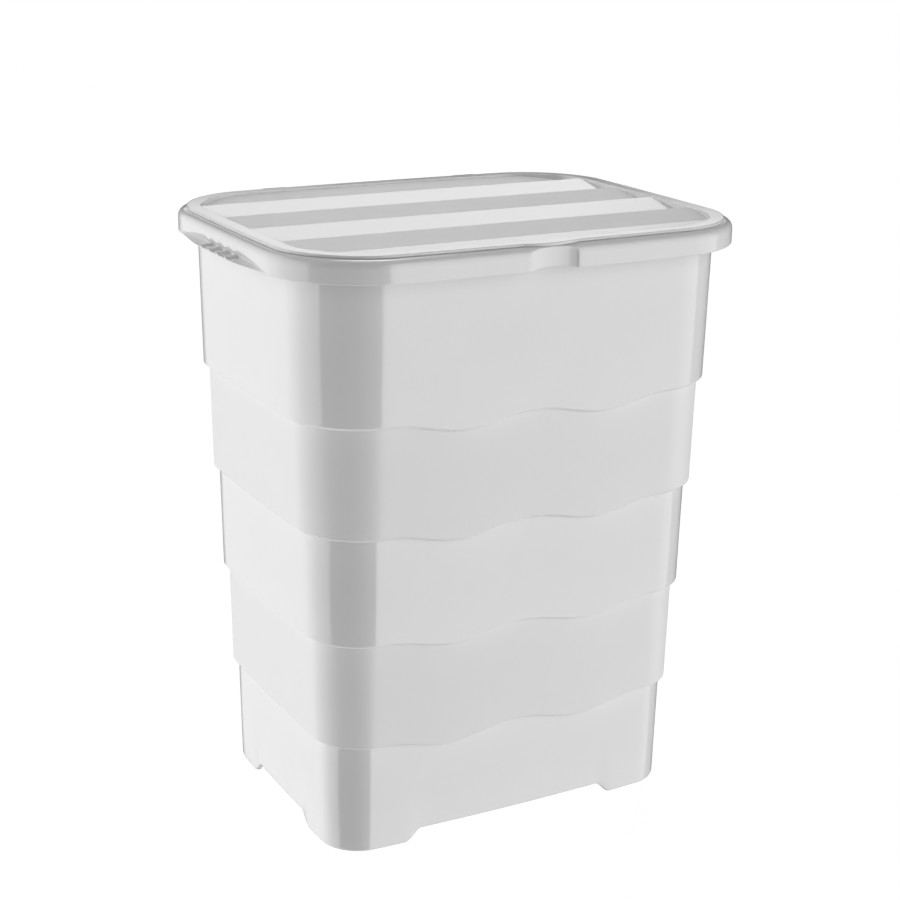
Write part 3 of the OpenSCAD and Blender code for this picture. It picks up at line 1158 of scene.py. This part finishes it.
    def arm(self) -> list[complex]:
        """Lay the outline of a hinge arm, over the rim and down to its knuckle.

        Returns:
            The outline as y + z i.
        """
        rim = Tub()
        near = HINGE.half_spacing - HINGE.knuckle_length / 2
        far = HINGE.half_spacing + HINGE.knuckle_length / 2
        bend = complex(OUTLINE.long_side(near, rim.rim_round), rim.rim_z - rim.rim_round)
        root = OUTLINE.long_side(far, self.edge_inset) - HINGE.sink
        under = rim.rim_round + self.arm_clearance
        over = under + self.arm_thickness
        angles = [math.radians(90 * k / self.arm_pieces) for k in range(self.arm_pieces + 1)]
        turn = [complex(math.cos(a), math.sin(a)) for a in angles]
        return [
            complex(root, bend.imag + under),
            *[bend + under * t for t in reversed(turn)],
            *HINGE.barrel(start=180, end=440),
            # The knuckle covers the start of the bend's outside.
            *[bend + over * t for t in turn[4:]],
            complex(root, bend.imag + over),
        ]

    def build(self, materials: list[bpy.types.Material]) -> bpy.types.Object:
        """Make the lid with its two hinge arms.

        Args:
            materials: The materials of the finishes.

        Returns:
            The lid.
        """
        lid = self.shell().build("hamper_lid", materials)
        for side in (-1, 1):
            arm = HINGE.plate(
                self.arm(),
                side * HINGE.half_spacing,
                HINGE.knuckle_length,
                HINGE.pin + HINGE.pin_clearance,
                materials,
            )
            combine(lid, arm, "UNION")
        smooth(lid, weigh=True)
        return lid


@dataclass(frozen=True)
class Lamp:
    """A round soft lamp outside the tent.

    Its compass angle, height, radius and blur are in degrees. The sill, if it has
    one, is a height and a blur: a screen hides what of the lamp is lower than that.
    """

    angle: float
    height: float
    radius: float
    power: float
    blur: float = 4.0
    sill: tuple[float, float] | None = None

    def add_to(self, tree: Tree, direction: Socket, level: Socket, strength: Socket) -> Socket:
        """Add the lamp to the tent's brightness.

        Args:
            tree: The world's node tree.
            direction: The socket with the direction that is looked at.
            level: The socket with that direction's Z.
            strength: The socket with the brightness so far.

        Returns:
            The socket with the brightness, lamp included.
        """
        turn, rise = math.radians(self.angle), math.radians(self.height)
        aim = (math.cos(turn) * math.cos(rise), math.sin(turn) * math.cos(rise), math.sin(rise))
        facing = add_node(tree, "VectorMath", {0: direction, 1: aim}, operation="DOT_PRODUCT")
        outer, inner = self.radius + self.blur, max(0.0, self.radius - self.blur)
        lamp = sine_step(tree, facing.outputs["Value"], 90 - outer, 90 - inner)
        power = self.power
        if self.sill:
            middle, blur = self.sill
            shown = sine_step(tree, level, middle - blur, middle + blur)
            power = compute(tree, "MULTIPLY", shown, self.power)
        return compute(tree, "MULTIPLY_ADD", lamp, power, strength)


@dataclass(frozen=True)
class LightTent:
    """White cloth round the hamper, with soft lamps outside it.

    Walls are (compass angle, strength) stops, with angles in degrees anticlockwise
    from +X: the cloth is bright at the left and to the right of the front, and dark
    along the right side and where it is open towards the viewer. The roof and the
    bed are even, and take over at so many degrees above and below level.
    """

    walls: tuple[tuple[float, float], ...]
    roof: float
    bed: float
    lamps: tuple[Lamp, ...]
    roof_from: float = 42.0
    bed_from: float = 55.0
    blur: float = 8.0

    def build(self) -> None:
        """Make the world: the tent for light and reflections, white behind the hamper."""
        world = bpy.data.worlds.new("light_tent")
        bpy.context.scene.world = world
        world.use_nodes = True
        tree = world.node_tree
        tent = tree.nodes["Background"]
        feed(tree, tent, {"Color": WHITE, "Strength": self._strength(tree)})
        white = add_node(tree, "Background", {"Color": WHITE, "Strength": 1.0})
        seen = tree.nodes.new("ShaderNodeLightPath").outputs["Is Camera Ray"]
        mix = add_node(tree, "MixShader", {"Fac": seen, 1: tent.outputs[0], 2: white.outputs[0]})
        feed(tree, tree.nodes["World Output"], {"Surface": mix.outputs[0]})

    def _strength(self, tree: Tree) -> Socket:
        """Work out the tent's brightness in each direction.

        Args:
            tree: The world's node tree.

        Returns:
            The socket with the brightness.
        """
        direction = tree.nodes.new("ShaderNodeTexCoord").outputs["Generated"]
        split = add_node(tree, "SeparateXYZ", {0: direction}).outputs
        angle = compute(tree, "ARCTAN2", split["Y"], split["X"])
        ramp = add_node(tree, "ValToRGB", {"Fac": remap(tree, angle, (-math.pi, math.pi))})
        peak = max(strength for _, strength in self.walls)
        stops = sorted((((a + 180) % 360) / 360, v / peak) for a, v in self.walls)
        elements = ramp.color_ramp.elements
        while len(elements) < len(stops):
            elements.new(0.5)
        for element, (place, level) in zip(elements, stops):
            element.position = place
            element.color = (level, level, level, 1)
        strength = compute(tree, "MULTIPLY", ramp.outputs["Color"], peak)

        for sign, start, level in ((1, self.roof_from, self.roof), (-1, self.bed_from, self.bed)):
            near, far = sign * (start - self.blur), sign * (start + self.blur)
            share = sine_step(tree, split["Z"], near, far)
            blend = add_node(tree, "Mix", {"Factor": share, "A": strength, "B": level})
            strength = blend.outputs["Result"]

        for lamp in self.lamps:
            strength = lamp.add_to(tree, direction, split["Z"], strength)
        return strength


@dataclass
class Studio:
    """The floor, the light tent and the camera.

    The camera's angles are in degrees, and its lens, sensor and eye in millimetres.
    The floor's half side and the camera's reach are in metres.
    """

    yaw: float = 28.32
    pitch: float = 17.44
    roll: float = 0.79
    lens: float = 72.6
    sensor: float = 36.0
    reach: float = 50.0
    eye: tuple[float, float, float] = (-789.16, -1469.93, 851.85)
    floor_half: float = 6.0
    floor_shade: float = 0.3
    floor_roughness: float = 0.9
    floor_glow: float = 0.86
    tent: LightTent = LightTent(
        walls=(
            (2, 0.08), (84, 0.08), (98, 0.35), (104, 1.15), (115, 1.3), (145, 2.1), (175, 1.8),
            (189.6, 1.6), (190.4, 0.0), (270, 0.0), (279.6, 0.2), (280.4, 1.9), (295, 2.2),
            (320, 1.9), (335, 1.4), (349, 1.15), (353, 0.08),
        ),
        roof=0.12,
        bed=0.68,
        lamps=(
            Lamp(angle=60.0, height=52.0, radius=7.0, power=7.0),
            Lamp(angle=60.5, height=31.0, radius=15.0, power=0.4),
            Lamp(angle=63.5, height=14.0, radius=13.0, power=1.25, sill=(9.5, 0.45)),
        ),
    )

    def floor(self) -> None:
        """Make the pale floor, which shows white but keeps the hamper's shadow."""
        half = self.floor_half
        mesh = bpy.data.meshes.new("floor")
        mesh.from_pydata(
            [(-half, -half, 0), (half, -half, 0), (half, half, 0), (-half, half, 0)],
            [],
            [(0, 1, 2, 3)],
        )
        material = bpy.data.materials.new("floor_white")
        material.use_nodes = True
        tree = material.node_tree
        cloth = tree.nodes["Principled BSDF"]
        feed(tree, cloth, {
            "Base Color": (*[self.floor_shade] * 3, 1),
            "Roughness": self.floor_roughness,
            "Specular IOR Level": 0.0,
        })
        glow = add_node(tree, "Emission", {"Strength": self.floor_glow})
        both = add_node(tree, "AddShader", {0: cloth.outputs[0], 1: glow.outputs[0]})
        feed(tree, tree.nodes["Material Output"], {"Surface": both.outputs[0]})
        mesh.materials.append(material)
        obj = bpy.data.objects.new("floor", mesh)
        bpy.context.scene.collection.objects.link(obj)
        obj.visible_diffuse = False
        obj.visible_glossy = False
        obj.visible_transmission = False
        obj.visible_shadow = False

    def camera(self) -> None:
        """Place the camera."""
        yaw, pitch, roll = (math.radians(v) for v in (self.yaw, self.pitch, self.roll))
        ahead = Vector((
            math.sin(yaw) * math.cos(pitch), math.cos(yaw) * math.cos(pitch), -math.sin(pitch)
        ))
        level = Vector((math.cos(yaw), -math.sin(yaw), 0))
        above = level.cross(ahead)
        right = level * math.cos(roll) + above * math.sin(roll)
        up = above * math.cos(roll) - level * math.sin(roll)
        data = bpy.data.cameras.new("camera")
        data.lens, data.sensor_width = self.lens, self.sensor
        data.clip_end = self.reach
        obj = bpy.data.objects.new("camera", data)
        turn = Matrix((right, up, -ahead)).transposed()
        obj.matrix_world = Matrix.Translation(Vector(self.eye) * MM) @ turn.to_4x4()
        bpy.context.scene.collection.objects.link(obj)
        bpy.context.scene.camera = obj

    def build(self) -> None:
        """Make the whole stage."""
        self.floor()
        self.tent.build()
        self.camera()
        bpy.context.scene.view_settings.view_transform = "Standard"


def report(obj: bpy.types.Object, body: str) -> None:
    """Log one finished piece."""
    faces = len(obj.data.polygons)
    LOG.info("%s: %d faces, rides on %s", obj.name, faces, body)


def main() -> None:
    """Build the hamper and its stage."""
    logging.basicConfig(level=logging.INFO, format="%(name)s: %(message)s")
    materials = [GLOSSY_WHITE.material(), SATIN_WHITE.material()]

    tub = Tub().build(materials)
    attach(tub, "tub")
    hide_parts("tub")
    report(tub, "tub")

    lid = Lid().build(materials)
    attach(lid, "lid")
    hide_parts("lid")
    report(lid, "lid")

    pin_material = PIN_WHITE.material()
    for name in ("hinge_pin_left", "hinge_pin_right"):
        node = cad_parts[name]
        node.data.materials.clear()
        node.data.materials.append(pin_material)
        report(node, "tub")

    Studio().build()


if __name__ == "__main__":
    main()
